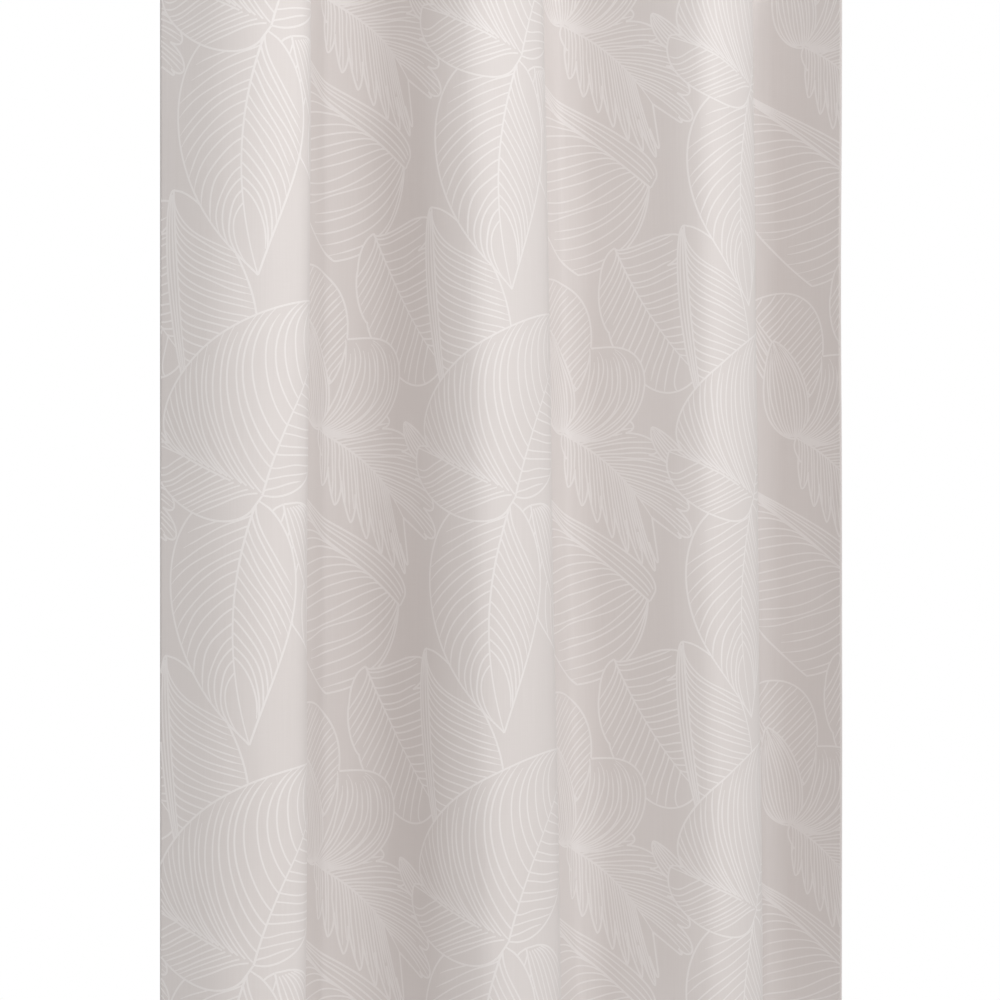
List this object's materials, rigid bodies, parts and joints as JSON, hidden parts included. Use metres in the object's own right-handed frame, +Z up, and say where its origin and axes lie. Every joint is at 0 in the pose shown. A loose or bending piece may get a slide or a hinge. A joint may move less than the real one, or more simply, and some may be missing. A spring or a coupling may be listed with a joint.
{
  "type": "curtain cloth length",
  "caption": "Cut length of pale thermal curtain cloth with a printed outline of tropical leaves, hanging in deep soft folds from its top edge.",
  "frame": {"origin": "middle of the cloth's top edge, half way through the depth of its folds", "axes": "+Z up along the hanging cloth, +X along its width from the left side edge to the right one seen from the front, -Y out of the front towards the room"},
  "size_m": [0.6147, 0.1264, 0.86],
  "materials": {
    "cloth": "smooth woven polyester in a pale warm greige with a soft satin sheen",
    "leaf_print": "fine printed leaf outlines and veins in soft off-white, a little glossier than the cloth"
  },
  "bodies": {
    "root": {"cloth": "cloth"}
  },
  "joints": []
}
